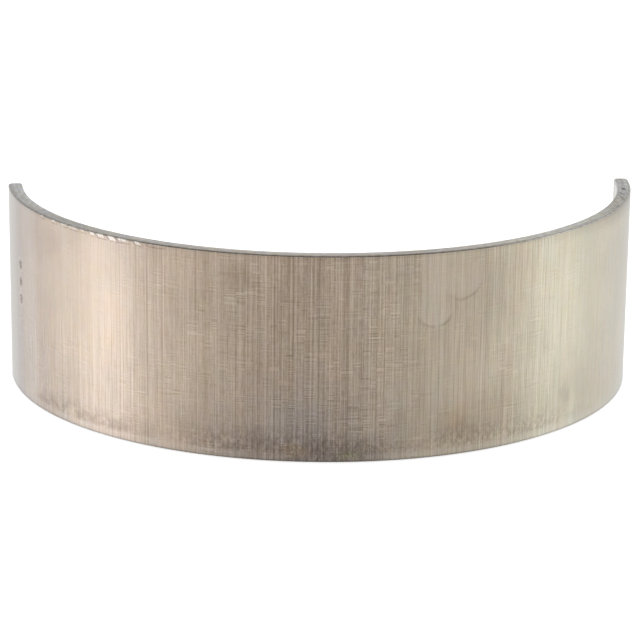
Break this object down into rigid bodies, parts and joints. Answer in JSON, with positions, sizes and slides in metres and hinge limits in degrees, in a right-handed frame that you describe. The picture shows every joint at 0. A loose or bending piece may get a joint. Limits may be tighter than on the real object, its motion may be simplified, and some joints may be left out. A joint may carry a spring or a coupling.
{
  "type": "engine bearing shell",
  "caption": "Plain half-round thin-wall bearing shell with broken edges and flat joint faces, standing on one side face.",
  "frame": {"origin": "bottom centre of the bounding box, on the plane the shell stands on", "axes": "+Z along the bore axis, +X across the two joint faces, the crown of the back towards -Y and the joint faces towards +Y"},
  "size_m": [0.0902, 0.0434, 0.0284],
  "materials": {
    "steel_back": "fine lines along the axis, warm stained steel"
  },
  "bodies": {
    "root": {"bearing_shell": "steel_back"}
  },
  "joints": []
}
